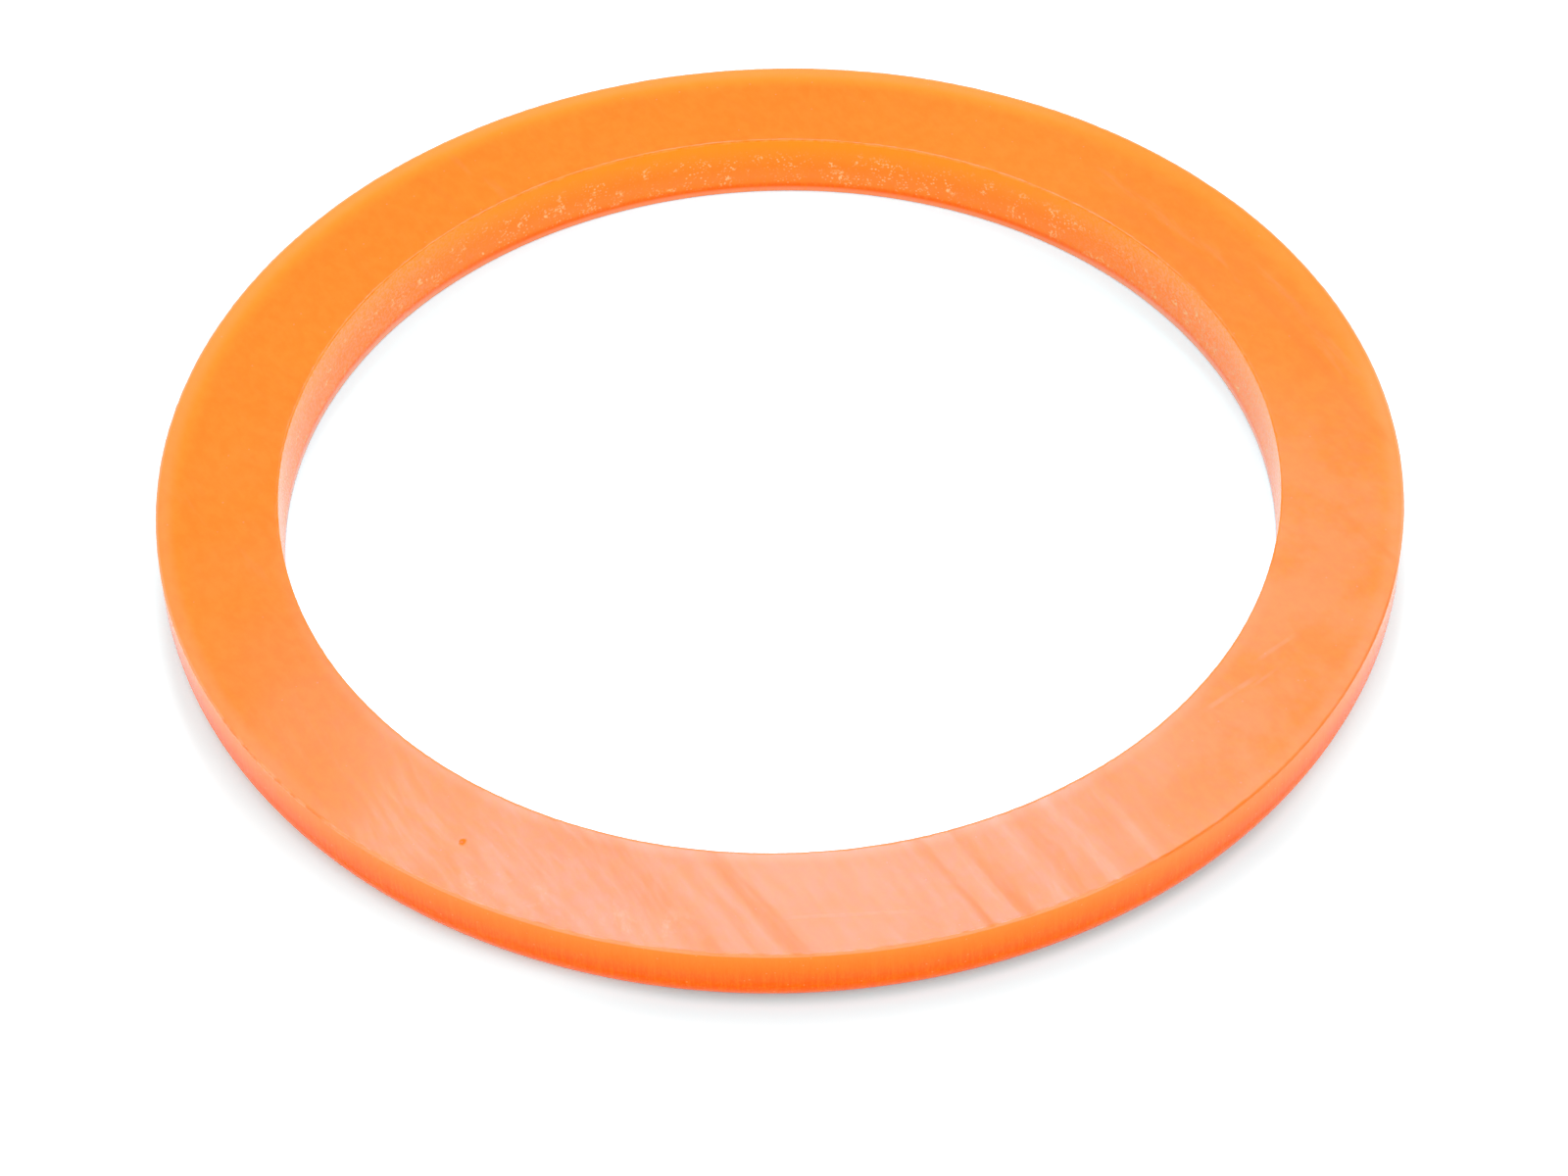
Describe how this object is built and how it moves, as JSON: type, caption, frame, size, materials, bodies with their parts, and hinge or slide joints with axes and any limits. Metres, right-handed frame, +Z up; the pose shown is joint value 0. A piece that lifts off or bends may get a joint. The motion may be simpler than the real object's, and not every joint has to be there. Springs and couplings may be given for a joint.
{
  "type": "flat ring seal",
  "caption": "Flat ring seal of solid orange polyurethane: a square-sided ring with a straight bore, flat faces and a rounded lower outside edge.",
  "frame": {"origin": "on the ring's axis, in the plane of its lower face", "axes": "+Z up along the ring's axis, from the lower face with the rounded outside edge to the upper face"},
  "size_m": [0.14, 0.14, 0.0082],
  "materials": {
    "polyurethane": "satin solid polyurethane, slightly translucent, orange all through, with knife-cut walls"
  },
  "bodies": {
    "root": {"seal_ring": "polyurethane"}
  },
  "joints": []
}
